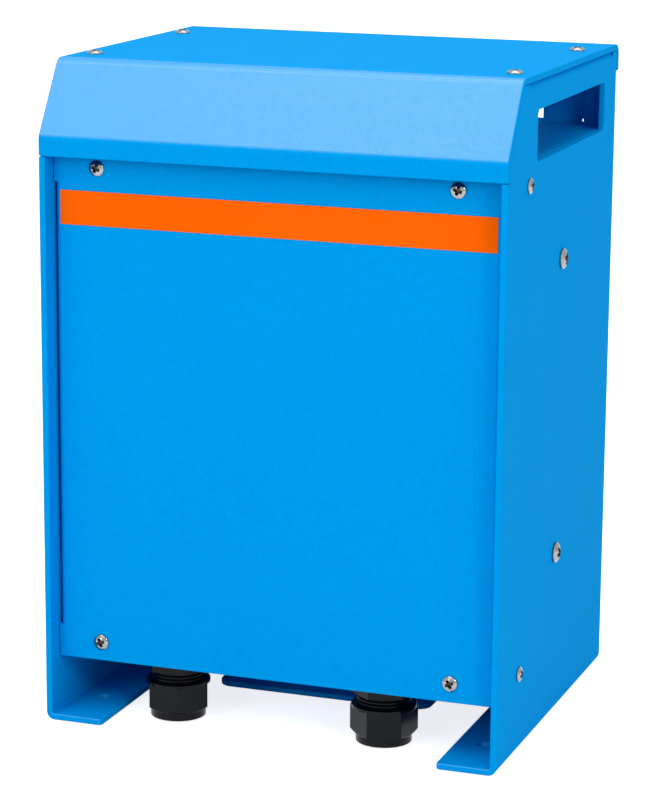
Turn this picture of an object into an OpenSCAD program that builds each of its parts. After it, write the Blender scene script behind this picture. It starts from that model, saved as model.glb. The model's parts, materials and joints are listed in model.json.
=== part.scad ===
// Isolation transformer in a wall mounted case of painted sheet metal.
// Millimetres. X is the width, the front faces minus Y, Z is up.
// The origin is on the floor, in the middle of the case.

/* [Case] */
// Width over the two side panels
body_w = 258; // [250:1:300]
// Depth from the front lip of the hood to its rear lip
body_d = 218; // [210:1:250]
// Height from the feet to the top of the hood
body_h = 362; // [355:1:400]
// Thickness of the side panels and of the hood
sheet_t = 3.5; // [2.5:0.5:4]
// Thickness of the front cover, the deck and the bottom plate
panel_t = 2; // [1.5:0.5:2.5]
// Thickness of the rear panel
rear_t = 1.5; // [1:0.5:2]
// Inner radius at the bends of the visible sheets
bend_r = 1; // [0.5:0.5:2]
// Height of the bottom plate above the floor
base_z = 35; // [32:1:45]
// Distance from the top of the hood down to the deck
deck_drop = 45.5; // [40:0.5:55]

/* [Hood] */
// Height of the upright front lip
lip_h = 10.3; // [8:0.1:14]
// Depth of the sloping front face
slope_run = 25.4; // [20:0.1:35]
// Height of the sloping front face
slope_rise = 39.4; // [32:0.1:42]
// Height of the rear lip
rear_lip_h = 15.1; // [12:0.1:18]
// Outer radius of the hood's bends
hood_bend_r = 6; // [4:0.5:8]
// Distance of the hood screws from the side faces
hood_screw_in = 11.6; // [10:0.1:14]
// Distance between the front and the rear hood screws
hood_screw_pitch = 122; // [90:1:130]

/* [Side panels] */
// Width of each foot, over the bend
foot_w = 33; // [28:1:36]
// Radius of the inner corners of the feet
foot_corner_r = 2; // [1:0.5:6]
// Distance of the foot holes from the side faces
foot_hole_in = 18; // [14:1:20]
// Distance between the front and the rear foot holes
foot_hole_pitch = 144; // [120:1:160]
// Radius of the holes in the feet
foot_hole_r = 3.4; // [2.5:0.1:4]
// Width of the hand hold along the depth
grip_w = 135.6; // [110:0.2:140]
// Height of the hand hold
grip_h = 26.7; // [22:0.1:27]
// Centre of the hand hold behind the middle of the case
grip_back = 11.8; // [5:0.1:15]
// Radius of the corners of the hand hold
grip_r = 3; // [1:0.5:6]

/* [Front cover] */
// Distance of the cover behind the front edges of the side panels
cover_inset = 10.4; // [8:0.1:13]
// Distance of the cover screws from the side faces
cover_screw_in = 29; // [21:1:49]
// Depth of the folded sides of the cover
cover_fold = 10; // [6:0.5:10]
// Height of the coloured stripe
stripe_h = 18.4; // [10:0.1:24]
// Distance from the hood lip down to the stripe
stripe_drop = 18.8; // [16:0.1:30]

/* [Transformer] */
// Gap between the winding and each side panel
winding_gap = 7.5; // [7:0.5:12]
// Distance from the back of the winding to the rear panel
winding_rear_gap = 18.85; // [17:0.05:34]
// Radius of the hole through the winding
winding_hole_r = 32; // [25:1:45]
// Radius of the winding's rounded edges
winding_round_r = 20; // [10:1:24]
// Thickness of the winding over the core
winding_t = 16; // [10:1:18]
// Thickness of each rubber pad
pad_t = 3; // [2:0.5:3.5]
// Thickness of the transformer support plate
support_t = 3; // [2:0.5:3.5]
// Distance of the support plate behind the middle of the case
support_y = 3; // [2:0.5:4]
// Distance of the support plate's side screws from its ends
support_screw_in = 32.5; // [24:0.5:54]

/* [Cable glands] */
// Left gland, distance from the left side face
gland_left_in = 64.3; // [57:0.1:79]
// Right gland, distance from the right side face
gland_right_in = 73.4; // [59:0.1:84]
// Distance of the glands behind the inner face of the cover
gland_back = 22.1; // [21.5:0.1:26]
// Width across the flats of the gland body
gland_af = 33; // [31:0.5:34]
// Width across the flats of the clamping nut
nut_af = 32; // [31.6:0.1:33]
// Height of the clamping nut
nut_h = 21; // [20:0.5:21.5]
// Bore of the rubber seal, the cable radius
cable_r = 8; // [5:0.5:8.5]
// Thread pitch of the clamping nut
gland_pitch = 2; // [1.5:0.5:2]

/* [Hidden] */

// overrun of every cut
eps = 0.5;
// gap between painted sheets that lie on each other
skin_gap = 0.3;
// gap between the screw shanks and their nuts
thread_gap = 0.05;
// gap between sheets that slide past each other
slide_gap = 0.4;
$fn = 48;
fine_fn = 64;
// steps round a bend and round a small corner
bend_steps = 6;

// case
hw = body_w / 2;
hd = body_d / 2;
side_in = hw - sheet_t;
side_rear = hd - sheet_t - rear_t - skin_gap / 2;
lip_z = body_h - slope_rise - lip_h;
deck_z = body_h - deck_drop;
mid_z = (deck_z + base_z) / 2;
bend_out = sheet_t + bend_r;
flange_h = 20;
flange_in = 14;
top_flange_w = 20;
top_flange_trim = 8;

// M4 pan head screws and their nuts
m4_r = 2;
m4_hole_r = 2.3;
m4_head_r = 4.2;
m4_head_h = 2.4;
m4_rim_h = 0.9;
m4_len = 9;
recess_w = 1.2;
recess_share = 0.58;
recess_depth_share = 0.6;
clinch_r = 3.6;
clinch_h = 2.4;

// M6 screws of the support plate
m6_r = 3;
m6_hole_r = 3.4;
m6_head_r = 5.7;
m6_head_h = 3.4;
m6_rim_h = 1.3;
m6_len = 13;
m6_recess_w = 1.7;
m6_clinch_r = 5;
m6_clinch_h = 4;

// rows of screws
screw_row_drop = 10.5;
row_top_z = deck_z - screw_row_drop;
screw_row_rise = 9.5;
row_low_z = base_z + screw_row_rise;
side_screw_in = 39;
side_screw_y = side_screw_in - hd;
rear_screw_x = side_in - flange_in / 2;

// front cover
cover_y = cover_inset - hd;
cover_back = cover_y + panel_t;
cover_drop = 1;
cover_z0 = base_z - cover_drop;
cover_z1 = lip_z - slide_gap;
fold_gap = 1.2;
ear_h = 18.7;
deck_ear_h = 14;
stripe_t = 0.3;
stripe_z1 = lip_z - stripe_drop;
cover_screw_x = hw - cover_screw_in;

// rear panel
rear_notch_in = 38.5;
rear_notch_x = side_in - rear_notch_in;
rear_notch_rise = 1.8;
rear_overlap = 3;
rear_foot_gap = 20;
relief_r = 0.9;
relief_rise = 1.6;

// vent slots in the deck and in the bottom plate
vent_in = 26;
vent_x = side_in - vent_in;
vent_count = 6;
vent_pitch = 8.3;
vent_len = 5;
vent_r = 1.1;
vent_back = 6.1;

// transformer support plate
support_w = 2 * (side_in - skin_gap);
support_rear = support_y + support_t;
support_flange = 24;
support_top_drop = 26;
support_rise = 27;
support_z0 = base_z + support_rise;
support_z1 = deck_z - support_top_drop;
support_screw_z = (support_z1 - support_z0) / 2 - support_screw_in;
m6_edge_gap = 1;
support_screw_y = support_y - m6_clinch_r - m6_edge_gap;
leg_w = 126;
leg_corner_r = 8;
leg_reach = 24;
leg_hole_x = 53;
leg_hole_in = 11.7;
leg_hole_r = 3;

// toroid
winding_r = min(side_in, (deck_z - base_z) / 2 - panel_t) - winding_gap;
winding_y = support_rear + pad_t;
winding_w = side_rear - winding_rear_gap - winding_y;
core_gap = 0.2;
pad_hole_in = 6;
pad_rim_in = 26;
pad_r_in = winding_hole_r + pad_hole_in;
pad_r_out = winding_r - pad_rim_in;
rear_pad_t = 2;
dish_t = 2.5;
dish_rim_in = 34;
dish_r = winding_r - dish_rim_in;
dish_depth = 4;
m10_r = 5;
m10_hole_r = 5.4;
m10_af = 17;
m10_head_h = 6.4;
m10_nut_h = 8;
m10_end = 2.5;

// leads
lead_r = 1.8;
elbow_share = 1.06;
lead_pitch = 4;
lead_start_gap = 0.2;
lead_out = 9;
lead_in = 24;
grommet_x_in = 21;
grommet_rise = 13.75;
grommet_r = 7;
grommet_hole_r = 4.6;
grommet_neck_r = 6;
grommet_lip = 1.5;
lead_turn_y = 18;
grommet_z = support_z0 + grommet_rise;

// terminal blocks
block_w = 50;
block_d = 30;
block_h = 26;
block_rise = 31;
block_poles = 3;
block_pole_pitch = 12;
entry_r = 3.2;
entry_depth = 13;
well_r = 3;
well_depth = 6;
clamp_r = 2.7;
clamp_h = 3;
clamp_slot_w = 0.8;
m3_r = 1.5;
m3_hole_r = 1.7;
m3_tap_r = 1.55;
m3_head_r = 2.8;
m3_head_h = 1.8;
m3_rim_h = 0.7;
m3_recess_w = 0.8;
block_screw_in = 3.5;

// earth point
earth_rise = 39;
earth_len = 17;
earth_nut_af = 10;
earth_nut_h = 5;
lug_r = 6;
lug_t = 1;
lug_barrel_r = 2.4;
lug_barrel_in = 5;
lug_barrel_end = 16;

// circuit board
board_w = 150;
board_h = 80;
board_t = 1.6;
board_top_drop = 31;
standoff_h = 8;
standoff_af = 6;
board_hole_in = 6;
relay_w = 29;
relay_h = 13;
relay_d = 20;
relay_x_share = 0.22;
relay_z_share = 0.22;
resistor_r = 5;
resistor_len = 46;
resistor_gap = 1.5;
resistor_z_share = 0.18;
resistor_foot_w = 3;
cap_r = 8;
cap_h = 20;
cap_x_share = 0.13;
cap_pitch = 20;
cap_z_share = 0.2;
plug_w = 26;
plug_h = 10;
plug_d = 12;
plug_x = 50;
wire_r = 1.2;
wire_pitch = 5;

// glands
gland_left_x = hw - gland_left_in;
gland_right_x = hw - gland_right_in;
gland_y = cover_back + gland_back;
gasket_t = 1.5;
gasket_r = 16.8;
body_hex_h = 5.5;
hex_z1 = base_z - gasket_t;
hex_z0 = hex_z1 - body_hex_h;
plate_thread_r = 14.1;
plate_hole_r = 14.4;
plate_thread_h = 11;
gland_bore_r = 11.4;
lower_thread_r = 14.8;
lower_root_r = 13.9;
lower_thread_h = 12;
crest_share = 0.35;
locknut_af = 34;
locknut_h = 5;
nut_play = 0.08;
nut_lift = 0.5;
nut_travel = 6;
nut_z1 = nut_lift + nut_h;
collar_r = 17.8;
collar_h = 2;
hex_share = 0.3;
cone_share = 0.2;
dome_r = 15.3;
nut_floor = 2.5;
seal_gap = 0.35;
seal_h = 18;
seal_r = gland_bore_r - seal_gap;
mouth_gap = 0.6;
nut_mouth_r = cable_r + mouth_gap;
left_nut_turn = -7;
right_nut_turn = 18.7;
left_body_turn = 4.5;
right_body_turn = 21;

// colours
blue = "#0a8fe0";
orange = "#ff6a10";
steel = "#c8ccd0";
black = "#202327";
rubber = "#2b2b2d";
copper = "#b8763e";
tape = "#c9a24a";
green = "#1c6b3c";
grey = "#7d8186";
blue_wire = "#2a5db0";
earth_green = "#5aa02c";

function dir2(p, q) = (q - p) / norm(q - p);
function side2(d) = [d[1], -d[0]];
function mitre(p, q, r, t) =
    let (a = side2(dir2(p, q)), b = side2(dir2(q, r)))
    q + t * (a + b) / (1 + a * b);
function shifted(path, t) =
    let (n = len(path) - 1)
    [for (i = [0 : n])
        i == 0 ? path[0] + t * side2(dir2(path[0], path[1]))
        : i == n ? path[n] + t * side2(dir2(path[n - 1], path[n]))
        : mitre(path[i - 1], path[i], path[i + 1], t)];
function bend(p, q, r, radius) =
    let (a = dir2(q, p), b = dir2(q, r),
        half = acos(a * b) / 2,
        m = (a + b) / norm(a + b),
        c = q + m * radius / sin(half),
        s = q + a * radius / tan(half) - c,
        e = q + b * radius / tan(half) - c,
        t0 = atan2(s[1], s[0]),
        turn = (atan2(e[1], e[0]) - t0 + 540) % 360 - 180)
    [for (i = [0 : bend_steps])
        c + radius * [cos(t0 + turn * i / bend_steps), sin(t0 + turn * i / bend_steps)]];
function bends(path, radius) =
    [for (i = [1 : len(path) - 2]) each bend(path[i - 1], path[i], path[i + 1], radius)];
function back(list) = [for (i = [len(list) - 1 : -1 : 0]) list[i]];
// outline of a bent sheet from the outer face of its path
function sheet_outline(path, t, radius) =
    let (inner = shifted(path, t), n = len(path) - 1)
    concat([path[0]], bends(path, radius), [path[n]],
        [inner[n]], back(bends(inner, radius - t)), [inner[0]]);

// outer face of the hood from the front lip to the rear lip, as Y and Z
hood_path = [[-hd, lip_z], [-hd, lip_z + lip_h], [slope_run - hd, body_h],
    [hd, body_h], [hd, body_h - rear_lip_h]];
under_hood = shifted(hood_path, sheet_t + skin_gap);
panel_top = body_h - sheet_t - skin_gap;

// draws a shape of the YZ plane and gives it a width along X
module across(width) {
    rotate([90, 0, 90]) linear_extrude(height = width, center = true) children();
}

// box from its two corners
module block(low, high) {
    translate(low) cube(high - low);
}

// hole with round corners through a wall that faces X
module window(w, h, r, depth) {
    rotate([90, 0, 90]) translate([0, 0, -depth / 2]) {
        translate([-w / 2, r - h / 2, 0]) cube([w, h - 2 * r, depth]);
        translate([r - w / 2, -h / 2, 0]) cube([w - 2 * r, h, depth]);
        for (x = [r - w / 2, w / 2 - r])
            for (y = [r - h / 2, h / 2 - r])
                translate([x, y, 0]) cylinder(r = r, h = depth);
    }
}

// slot with round ends through a level sheet, along X
module slot(length, r, depth) {
    block([-length / 2 + r, -r, -depth], [length / 2 - r, r, depth]);
    for (x = [r - length / 2, length / 2 - r])
        translate([x, 0, -depth]) cylinder(r = r, h = 2 * depth, $fn = 24);
}

module dome(r, rim, h) {
    rise = h - rim;
    ball = (r * r + rise * rise) / (2 * rise);
    intersection() {
        cylinder(r = r, h = h);
        translate([0, 0, h - ball]) sphere(r = ball, $fn = fine_fn);
    }
}

// pan head screw, head above Z zero and shank below
module pan_screw(r, head_r, rim, head_h, length, slot_w) {
    reach = head_r * recess_share;
    deep = head_h * recess_depth_share;
    difference() {
        union() {
            dome(head_r, rim, head_h);
            translate([0, 0, -length]) cylinder(r = r, h = length + rim / 2, $fn = 24);
        }
        block([-reach, -slot_w / 2, head_h - deep], [reach, slot_w / 2, head_h + eps]);
        block([-slot_w / 2, -reach, head_h - deep], [slot_w / 2, reach, head_h + eps]);
    }
}

module m4_screw() {
    pan_screw(m4_r, m4_head_r, m4_rim_h, m4_head_h, m4_len, recess_w);
}

module m3_screw(length) {
    pan_screw(m3_r, m3_head_r, m3_rim_h, m3_head_h, length, m3_recess_w);
}

// ring with its top face on Z zero
module ring_nut(r, bore, h) {
    difference() {
        translate([0, 0, -h]) cylinder(r = r, h = h, $fn = 32);
        translate([0, 0, -h - eps]) cylinder(r = bore, h = h + 2 * eps, $fn = 24);
    }
}

module hex_prism(af, h) {
    cylinder(r = af / sqrt(3), h = h, $fn = 6);
}

// straight run between two points
module run(p, q, r) {
    d = q - p;
    translate(p)
        rotate([0, acos(d[2] / norm(d)), atan2(d[1], d[0])])
            cylinder(r = r, h = norm(d), $fn = 20);
}

// wire along a list of points, round and a little thicker at its turns
module wire(points, r) {
    for (i = [0 : len(points) - 2])
        run(points[i], points[i + 1], r);
    for (i = [1 : len(points) - 2])
        translate(points[i]) sphere(r = r * elbow_share, $fn = 20);
}

// places of the screws, each as a point and the way its head faces
module on_side(s, y, z, out) {
    translate([s * out, y, z]) rotate([0, s * 90, 0]) children();
}

module on_front(x, z, out) {
    translate([x, out, z]) rotate([90, 0, 0]) children();
}

module on_back(x, z, out) {
    translate([x, out, z]) rotate([-90, 0, 0]) children();
}

module at_hood_screws(z) {
    for (s = [-1, 1])
        for (y = [-hood_screw_pitch / 2, hood_screw_pitch / 2])
            translate([s * (hw - hood_screw_in), y, z]) children();
}

module at_cover_screws(out) {
    for (x = [-cover_screw_x, cover_screw_x])
        for (z = [row_low_z, row_top_z])
            on_front(x, z, out) children();
}

module at_rear_screws(out) {
    for (x = [-rear_screw_x, rear_screw_x])
        for (z = [row_low_z, mid_z, row_top_z])
            on_back(x, z, out) children();
}

module at_side_screws(s, out) {
    for (z = [row_low_z, row_top_z])
        on_side(s, side_screw_y, z, out) children();
}

module at_support_screws(s, out) {
    for (z = [mid_z - support_screw_z, mid_z + support_screw_z])
        on_side(s, support_screw_y, z, out) children();
}

// what rounds a plate's upright corner at the origin, with the plate towards plus X and plus Y
module corner_cut(r, h) {
    difference() {
        block([-eps, -eps, 0], [r, r, h]);
        translate([r, r, -eps]) cylinder(r = r, h = h + 2 * eps);
    }
}

// right hand side panel with foot, rear flange and top flange
module side_panel() {
    foot_in = hw - foot_w;
    slope_y = under_hood[2][0];
    flange_y0 = slope_y + top_flange_trim;
    flange_y1 = side_rear - top_flange_trim;
    lap = bend_out;
    difference() {
        union() {
            translate([side_in + sheet_t / 2, 0, 0]) across(sheet_t)
                polygon([[-hd, bend_out], [-hd, lip_z - skin_gap],
                    [under_hood[0][0], lip_z - skin_gap], under_hood[1],
                    [slope_y, panel_top], [flange_y0, panel_top],
                    [flange_y0, panel_top - lap], [flange_y1, panel_top - lap],
                    [flange_y1, panel_top], [side_rear, panel_top],
                    [side_rear, bend_out]]);
            // foot
            translate([0, side_rear, 0]) rotate([90, 0, 0])
                linear_extrude(height = hd + side_rear)
                    polygon(concat([[side_in, bend_out + eps]],
                        back(bend([foot_in, sheet_t], [side_in, sheet_t],
                            [side_in, bend_out + eps], bend_r)),
                        [[foot_in, sheet_t], [foot_in, 0]],
                        bend([foot_in, 0], [hw, 0], [hw, bend_out + eps], bend_out),
                        [[hw, bend_out + eps]]));
            // top flange
            translate([0, flange_y1, 0]) rotate([90, 0, 0])
                linear_extrude(height = flange_y1 - flange_y0)
                    polygon(concat([[side_in, panel_top - lap - eps]],
                        back(bend([hw - top_flange_w, panel_top - sheet_t],
                            [side_in, panel_top - sheet_t],
                            [side_in, panel_top - lap - eps], bend_r)),
                        [[hw - top_flange_w, panel_top - sheet_t],
                        [hw - top_flange_w, panel_top]],
                        bend([hw - top_flange_w, panel_top], [hw, panel_top],
                            [hw, panel_top - lap - eps], bend_out),
                        [[hw, panel_top - lap - eps]]));
            // rear flange
            block([side_in - flange_in, side_rear - sheet_t, sheet_t + flange_h / 2],
                [side_in + sheet_t / 2, side_rear, body_h - rear_lip_h]);
        }
        translate([side_in + sheet_t / 2, grip_back, deck_z + grip_h / 2])
            window(grip_w, grip_h, grip_r, sheet_t + 2 * eps);
        for (y = [-foot_hole_pitch / 2, foot_hole_pitch / 2])
            translate([hw - foot_hole_in, y, -eps])
                cylinder(r = foot_hole_r, h = sheet_t + 2 * eps);
        translate([foot_in, -hd, -eps]) corner_cut(foot_corner_r, sheet_t + 2 * eps);
        translate([foot_in, side_rear, -eps]) mirror([0, 1, 0])
            corner_cut(foot_corner_r, sheet_t + 2 * eps);
        at_side_screws(1, side_in - eps) cylinder(r = m4_hole_r, h = sheet_t + 2 * eps, $fn = 24);
        at_support_screws(1, side_in - eps)
            cylinder(r = m6_hole_r, h = sheet_t + 2 * eps, $fn = 32);
        at_hood_screws(panel_top - sheet_t - eps)
            cylinder(r = m4_hole_r, h = sheet_t + 2 * eps, $fn = 24);
        at_rear_screws(side_rear - sheet_t - eps)
            cylinder(r = m4_hole_r, h = sheet_t + 2 * eps, $fn = 24);
    }
}

module right_side_panel() {
    color(blue) side_panel();
}

module left_side_panel() {
    color(blue) mirror([1, 0, 0]) side_panel();
}

module hood() {
    color(blue) difference() {
        across(body_w) polygon(sheet_outline(hood_path, sheet_t, hood_bend_r));
        at_hood_screws(body_h - sheet_t - eps)
            cylinder(r = m4_hole_r, h = sheet_t + 2 * eps, $fn = 24);
    }
}

module hood_screws() {
    color(steel) at_hood_screws(body_h) m4_screw();
}

// sheet between the side panels with a flange on each side, for the deck
// and the bottom plate; s is one where the flanges point up
module tray(z, s) {
    side_x = side_in - skin_gap;
    front_y = cover_back + skin_gap;
    rear_y = side_rear - skin_gap;
    rear_x = side_in - flange_in - fold_gap;
    front_x = side_in - fold_gap - panel_t - fold_gap;
    flange_y = cover_back + cover_fold + panel_t;
    inner_y = side_rear - sheet_t - skin_gap;
    low = s > 0 ? z : z - flange_h;
    module level(x, y0, y1) {
        block([-x, y0, s > 0 ? z : z - panel_t], [x, y1, s > 0 ? z + panel_t : z]);
    }
    level(front_x, front_y, flange_y + eps);
    level(side_x, flange_y, inner_y);
    level(rear_x, flange_y, rear_y);
    block([-front_x, front_y, low], [front_x, front_y + panel_t, low + flange_h]);
    block([-rear_x, rear_y - panel_t, low], [rear_x, rear_y, low + flange_h]);
    for (side = [0, 1]) mirror([side, 0, 0])
        block([side_x - panel_t, flange_y, low],
            [side_x, inner_y, low + flange_h]);
}

module vents(z) {
    for (s = [-1, 1])
        for (i = [0 : vent_count - 1])
            translate([s * vent_x, side_rear - vent_back - i * vent_pitch, z])
                slot(vent_len, vent_r, panel_t + eps);
}

module tray_holes(s) {
    at_cover_screws(cover_back + panel_t + 2 * eps)
        cylinder(r = m4_hole_r, h = panel_t + 4 * eps, $fn = 24);
    for (side = [-1, 1])
        at_side_screws(side, side_in - panel_t - 2 * eps)
            cylinder(r = m4_hole_r, h = panel_t + 3 * eps, $fn = 24);
}

module deck() {
    color(blue) difference() {
        tray(deck_z, -1);
        tray_holes(-1);
        vents(deck_z);
    }
}

module bottom_plate() {
    leg_gap = slide_gap;
    color(blue) difference() {
        tray(base_z, 1);
        tray_holes(1);
        vents(base_z);
        block([-leg_w / 2 - leg_gap, support_y - leg_gap, base_z - eps],
            [leg_w / 2 + leg_gap, support_rear + leg_gap, base_z + panel_t + eps]);
        for (x = [-gland_left_x, gland_right_x])
            translate([x, gland_y, base_z - eps])
                cylinder(r = plate_hole_r, h = panel_t + 2 * eps);
    }
}

module rear_panel() {
    rear_x = hw - rear_t - skin_gap;
    relief_x = side_in - flange_in - relief_r;
    top = body_h - rear_lip_h + rear_overlap;
    color(blue) difference() {
        block([-rear_x, side_rear, rear_foot_gap], [rear_x, side_rear + rear_t, top]);
        block([-rear_notch_x, side_rear - eps, deck_z + rear_notch_rise],
            [rear_notch_x, side_rear + rear_t + eps, top + eps]);
        at_rear_screws(side_rear - eps)
            cylinder(r = m4_hole_r, h = rear_t + 2 * eps, $fn = 24);
        for (s = [-1, 1])
            on_back(s * relief_x, deck_z + relief_rise, side_rear - eps)
                cylinder(r = relief_r, h = rear_t + 2 * eps, $fn = 24);
    }
}

module rear_panel_screws() {
    color(steel) at_rear_screws(side_rear + rear_t) m4_screw();
}

module side_panel_screws() {
    color(steel) for (s = [-1, 1]) at_side_screws(s, hw) m4_screw();
}

module support_plate_screws() {
    color(steel) for (s = [-1, 1])
        at_support_screws(s, hw)
            pan_screw(m6_r, m6_head_r, m6_rim_h, m6_head_h, m6_len, m6_recess_w);
}

module m4_clinch() {
    ring_nut(clinch_r, m4_r + thread_gap, clinch_h);
}

module clinch_nuts_m4() {
    color(steel) {
        at_hood_screws(panel_top - sheet_t) m4_clinch();
        at_cover_screws(cover_back + skin_gap + panel_t) m4_clinch();
        at_rear_screws(side_rear - sheet_t) m4_clinch();
        for (s = [-1, 1]) at_side_screws(s, side_in - skin_gap - panel_t) m4_clinch();
    }
}

module clinch_nuts_m6() {
    color(steel) for (s = [-1, 1])
        at_support_screws(s, side_in - skin_gap - support_t)
            ring_nut(m6_clinch_r, m6_r + thread_gap, m6_clinch_h);
}

module at_block_screws(out) {
    for (x = [-gland_left_x, gland_right_x])
        for (s = [-1, 1])
            on_front(x + s * (block_w / 2 - block_screw_in), base_z + block_rise + block_h / 2, out)
                children();
}

module at_board_screws(out) {
    for (x = [-board_w / 2 + board_hole_in, board_w / 2 - board_hole_in])
        for (z = [board_z0 + board_hole_in, board_z0 + board_h - board_hole_in])
            on_front(x, z, out) children();
}

grommet_x = side_in - grommet_x_in;
board_z0 = deck_z - board_top_drop - board_h;
board_y = support_y - standoff_h;
board_front = board_y - board_t;
earth_z = base_z + earth_rise;

module transformer_support_plate() {
    side_x = support_w / 2;
    foot_y = support_rear - support_t - leg_reach;
    color(grey) difference() {
        union() {
            block([-side_x, support_y, support_z0], [side_x, support_rear, support_z1]);
            for (side = [0, 1]) mirror([side, 0, 0])
                block([side_x - support_t, support_y - support_flange + support_t, support_z0],
                    [side_x, support_rear, support_z1]);
            block([-leg_w / 2, support_y, 0], [leg_w / 2, support_rear, support_z0 + eps]);
            block([-leg_w / 2, foot_y + leg_corner_r, 0], [leg_w / 2, support_rear, support_t]);
            block([leg_corner_r - leg_w / 2, foot_y, 0],
                [leg_w / 2 - leg_corner_r, support_rear, support_t]);
            for (x = [leg_corner_r - leg_w / 2, leg_w / 2 - leg_corner_r])
                translate([x, foot_y + leg_corner_r, 0]) cylinder(r = leg_corner_r, h = support_t);
        }
        for (s = [-1, 1]) {
            translate([s * leg_hole_x, foot_y + leg_hole_in, -eps])
                cylinder(r = leg_hole_r, h = support_t + 2 * eps, $fn = 32);
            at_support_screws(s, side_x - support_t - eps)
                cylinder(r = m6_hole_r, h = support_t + 2 * eps, $fn = 32);
            on_front(s * grommet_x, grommet_z, support_rear + eps)
                cylinder(r = grommet_neck_r, h = support_t + 2 * eps, $fn = 32);
        }
        on_front(0, mid_z, support_rear + eps)
            cylinder(r = m10_hole_r, h = support_t + 2 * eps, $fn = 32);
        at_block_screws(support_rear + eps)
            cylinder(r = m3_tap_r, h = support_t + 2 * eps, $fn = 24);
        at_board_screws(support_rear + eps)
            cylinder(r = m3_tap_r, h = support_t + 2 * eps, $fn = 24);
    }
}

// ring about the transformer's axis, from the front y0 to the back y1
module axis_ring(r_in, r_out, y0, y1) {
    translate([0, y1, mid_z]) rotate([90, 0, 0]) difference() {
        cylinder(r = r_out, h = y1 - y0, $fn = fine_fn);
        translate([0, 0, -eps]) cylinder(r = r_in, h = y1 - y0 + 2 * eps, $fn = fine_fn);
    }
}

module toroid_core() {
    color(grey) axis_ring(winding_hole_r + winding_t, winding_r - winding_t,
        winding_y + winding_t, winding_y + winding_w - winding_t);
}

module toroid_winding() {
    r0 = winding_hole_r;
    r1 = winding_r;
    c0 = r0 + winding_t - core_gap;
    c1 = r1 - winding_t + core_gap;
    y0 = winding_t - core_gap;
    y1 = winding_w - winding_t + core_gap;
    corners = [[r0, 0], [r1, 0], [r1, winding_w], [r0, winding_w]];
    color(tape) translate([0, winding_y, mid_z]) rotate([-90, 0, 0])
        rotate_extrude($fn = fine_fn) difference() {
            polygon([for (i = [0 : 3])
                each bend(corners[(i + 3) % 4], corners[i], corners[(i + 1) % 4], winding_round_r)]);
            polygon([[c0, y0], [c1, y0], [c1, y1], [c0, y1]]);
        }
}

module front_rubber_pad() {
    color(rubber) axis_ring(pad_r_in, pad_r_out, support_rear, winding_y);
}

dish_y = winding_y + winding_w + rear_pad_t;

module rear_rubber_pad() {
    color(rubber) axis_ring(pad_r_in, pad_r_out, winding_y + winding_w, dish_y);
}

// dished washer whose middle drops into the hole of the winding
module clamping_dish() {
    hub = winding_hole_r - dish_t - dish_depth;
    rim = winding_hole_r + dish_depth;
    color(steel) translate([0, dish_y, mid_z]) rotate([-90, 0, 0]) rotate_extrude($fn = fine_fn)
        polygon([[m10_hole_r, -dish_depth], [hub, -dish_depth], [rim, 0], [dish_r, 0],
            [dish_r, dish_t], [rim - dish_t, dish_t], [hub - dish_t, dish_t - dish_depth],
            [m10_hole_r, dish_t - dish_depth]]);
}

m10_nut_y = dish_y + dish_t - dish_depth;

module transformer_bolt() {
    shank = m10_nut_y + m10_nut_h + m10_end - support_y;
    color(steel) on_front(0, mid_z, support_y) {
        hex_prism(m10_af, m10_head_h);
        translate([0, 0, -shank]) cylinder(r = m10_r, h = shank + m10_head_h / 2, $fn = 32);
    }
}

module transformer_nut() {
    color(steel) on_back(0, mid_z, m10_nut_y) difference() {
        hex_prism(m10_af, m10_nut_h);
        translate([0, 0, -eps])
            cylinder(r = m10_r + thread_gap, h = m10_nut_h + 2 * eps, $fn = 32);
    }
}

module lead_grommets() {
    color(rubber) for (s = [-1, 1])
        on_front(s * grommet_x, grommet_z, support_rear + grommet_lip)
            difference() {
                union() {
                    cylinder(r = grommet_r, h = grommet_lip, $fn = 32);
                    cylinder(r = grommet_neck_r - thread_gap,
                        h = support_t + 2 * grommet_lip, $fn = 32);
                    translate([0, 0, grommet_lip + support_t])
                        cylinder(r = grommet_r, h = grommet_lip, $fn = 32);
                }
                translate([0, 0, -eps])
                    cylinder(r = grommet_hole_r, h = support_t + 2 * grommet_lip + 2 * eps, $fn = 32);
            }
}

// lead k of the pair on the left hand side, from the winding to its block:
// out along the winding's radius, through the grommet and across
function lead_route(k, side) =
    let (o = (k - 0.5) * lead_pitch,
        a = atan2(grommet_z - mid_z, -grommet_x),
        r0 = winding_r + lead_start_gap,
        r1 = winding_r + lead_out,
        y = winding_y + lead_in,
        turn = -lead_turn_y + k * lead_pitch,
        dx = -o * sin(a),
        dz = o * cos(a))
    [[r0 * cos(a) + dx, y, mid_z + r0 * sin(a) + dz],
        [r1 * cos(a) + dx, y, mid_z + r1 * sin(a) + dz],
        [-grommet_x + dx, winding_y, grommet_z + dz],
        [-grommet_x + dx, turn, grommet_z + dz],
        [side - block_w / 2, turn, grommet_z + dz]];

module input_leads() {
    for (k = [0, 1])
        color(k == 0 ? copper : blue_wire) wire(lead_route(k, -gland_left_x), lead_r);
}

module output_leads() {
    for (k = [0, 1])
        color(k == 0 ? copper : blue_wire) mirror([1, 0, 0])
            wire(lead_route(k, -gland_right_x), lead_r);
}

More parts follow.
